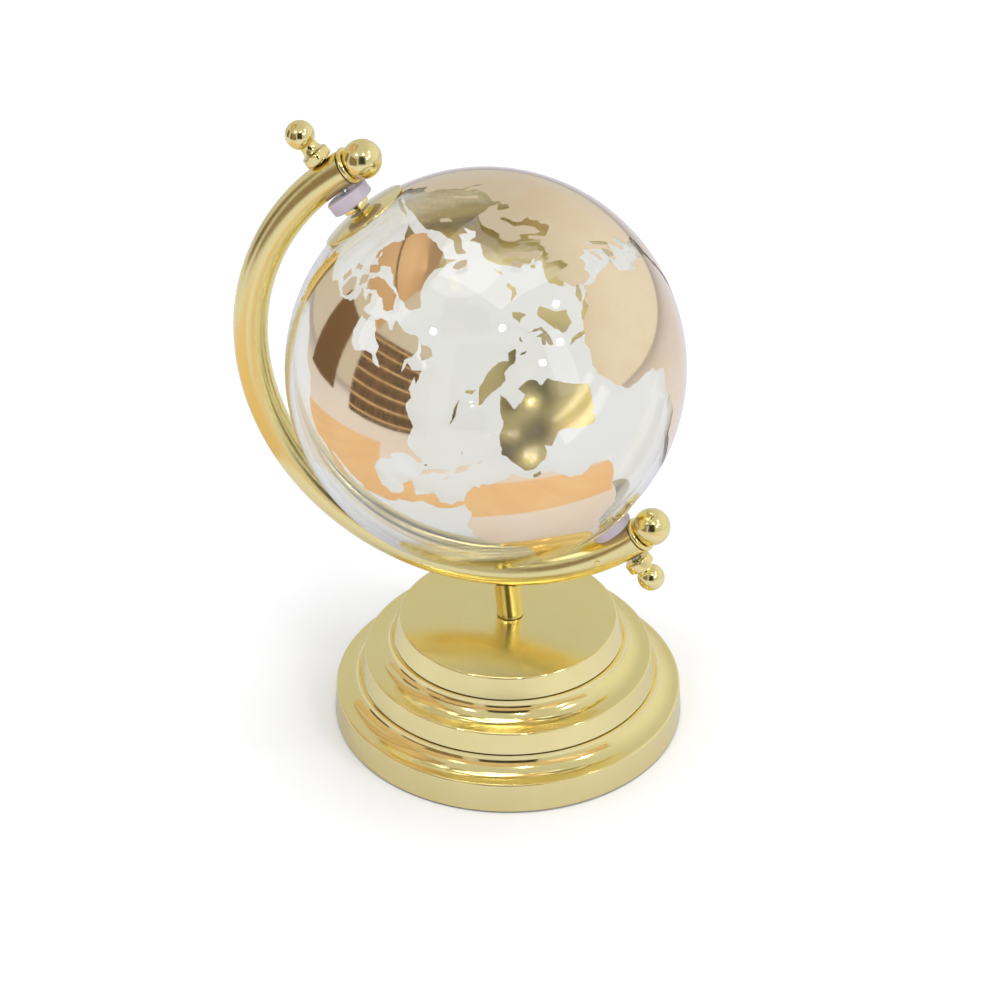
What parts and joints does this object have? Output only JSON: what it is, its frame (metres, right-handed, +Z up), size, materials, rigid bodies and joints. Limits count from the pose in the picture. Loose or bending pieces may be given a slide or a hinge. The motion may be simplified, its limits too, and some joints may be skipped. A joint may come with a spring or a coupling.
{
  "type": "desktop globe",
  "caption": "Clear glass desk globe with gold foil continents that spins in a C-shaped gold arm on a stepped round base.",
  "frame": {"origin": "centre of the round base, on the table", "axes": "+Z up; the arm lies in the XZ plane and its upper end leans towards -X; the front is -Y"},
  "size_m": [0.1506, 0.127, 0.2099],
  "materials": {
    "gold_plate": "polished pale gold plating",
    "plain_steel": "plain zinc-plated steel",
    "cast_iron": "rough cast",
    "clear_glass": "clear blown glass",
    "gold_foil": "mirror gold coating on the glass",
    "lilac_plastic": "translucent lilac",
    "white_plastic": "natural nylon",
    "felt": "black felt"
  },
  "bodies": {
    "stand": {"base_tier_top": "gold_plate", "base_tier_middle": "gold_plate", "base_tier_bottom": "gold_plate", "base_weight": "cast_iron", "base_cover_plate": "plain_steel", "felt_pad": "felt", "base_bolt": "plain_steel", "base_washer": "plain_steel", "stem_post": "gold_plate", "arm_tube": "gold_plate", "arm_vent_plug": "gold_plate", "upper_end_collar": "gold_plate", "lower_end_collar": "gold_plate", "upper_end_ball": "gold_plate", "lower_end_ball": "gold_plate", "upper_pivot_pin": "plain_steel", "lower_pivot_pin": "plain_steel", "upper_finial_knob": "gold_plate", "lower_finial_knob": "gold_plate", "upper_lock_nut": "gold_plate", "lower_lock_collar": "gold_plate", "upper_pivot_washer": "lilac_plastic", "lower_pivot_washer": "lilac_plastic"},
    "globe": {"globe_glass": "clear_glass", "upper_pole_cup": "gold_plate", "lower_pole_cup": "gold_plate", "upper_pole_bush": "white_plastic", "lower_pole_bush": "white_plastic", "upper_spacer": "gold_plate"}
  },
  "joints": [
    {"name": "globe_spin", "type": "hinge", "parent": "stand", "child": "globe", "pos_m": [-0.00749, 0, 0.131], "axis": [-0.6143, 0, 0.7891], "continuous": true}
  ]
}
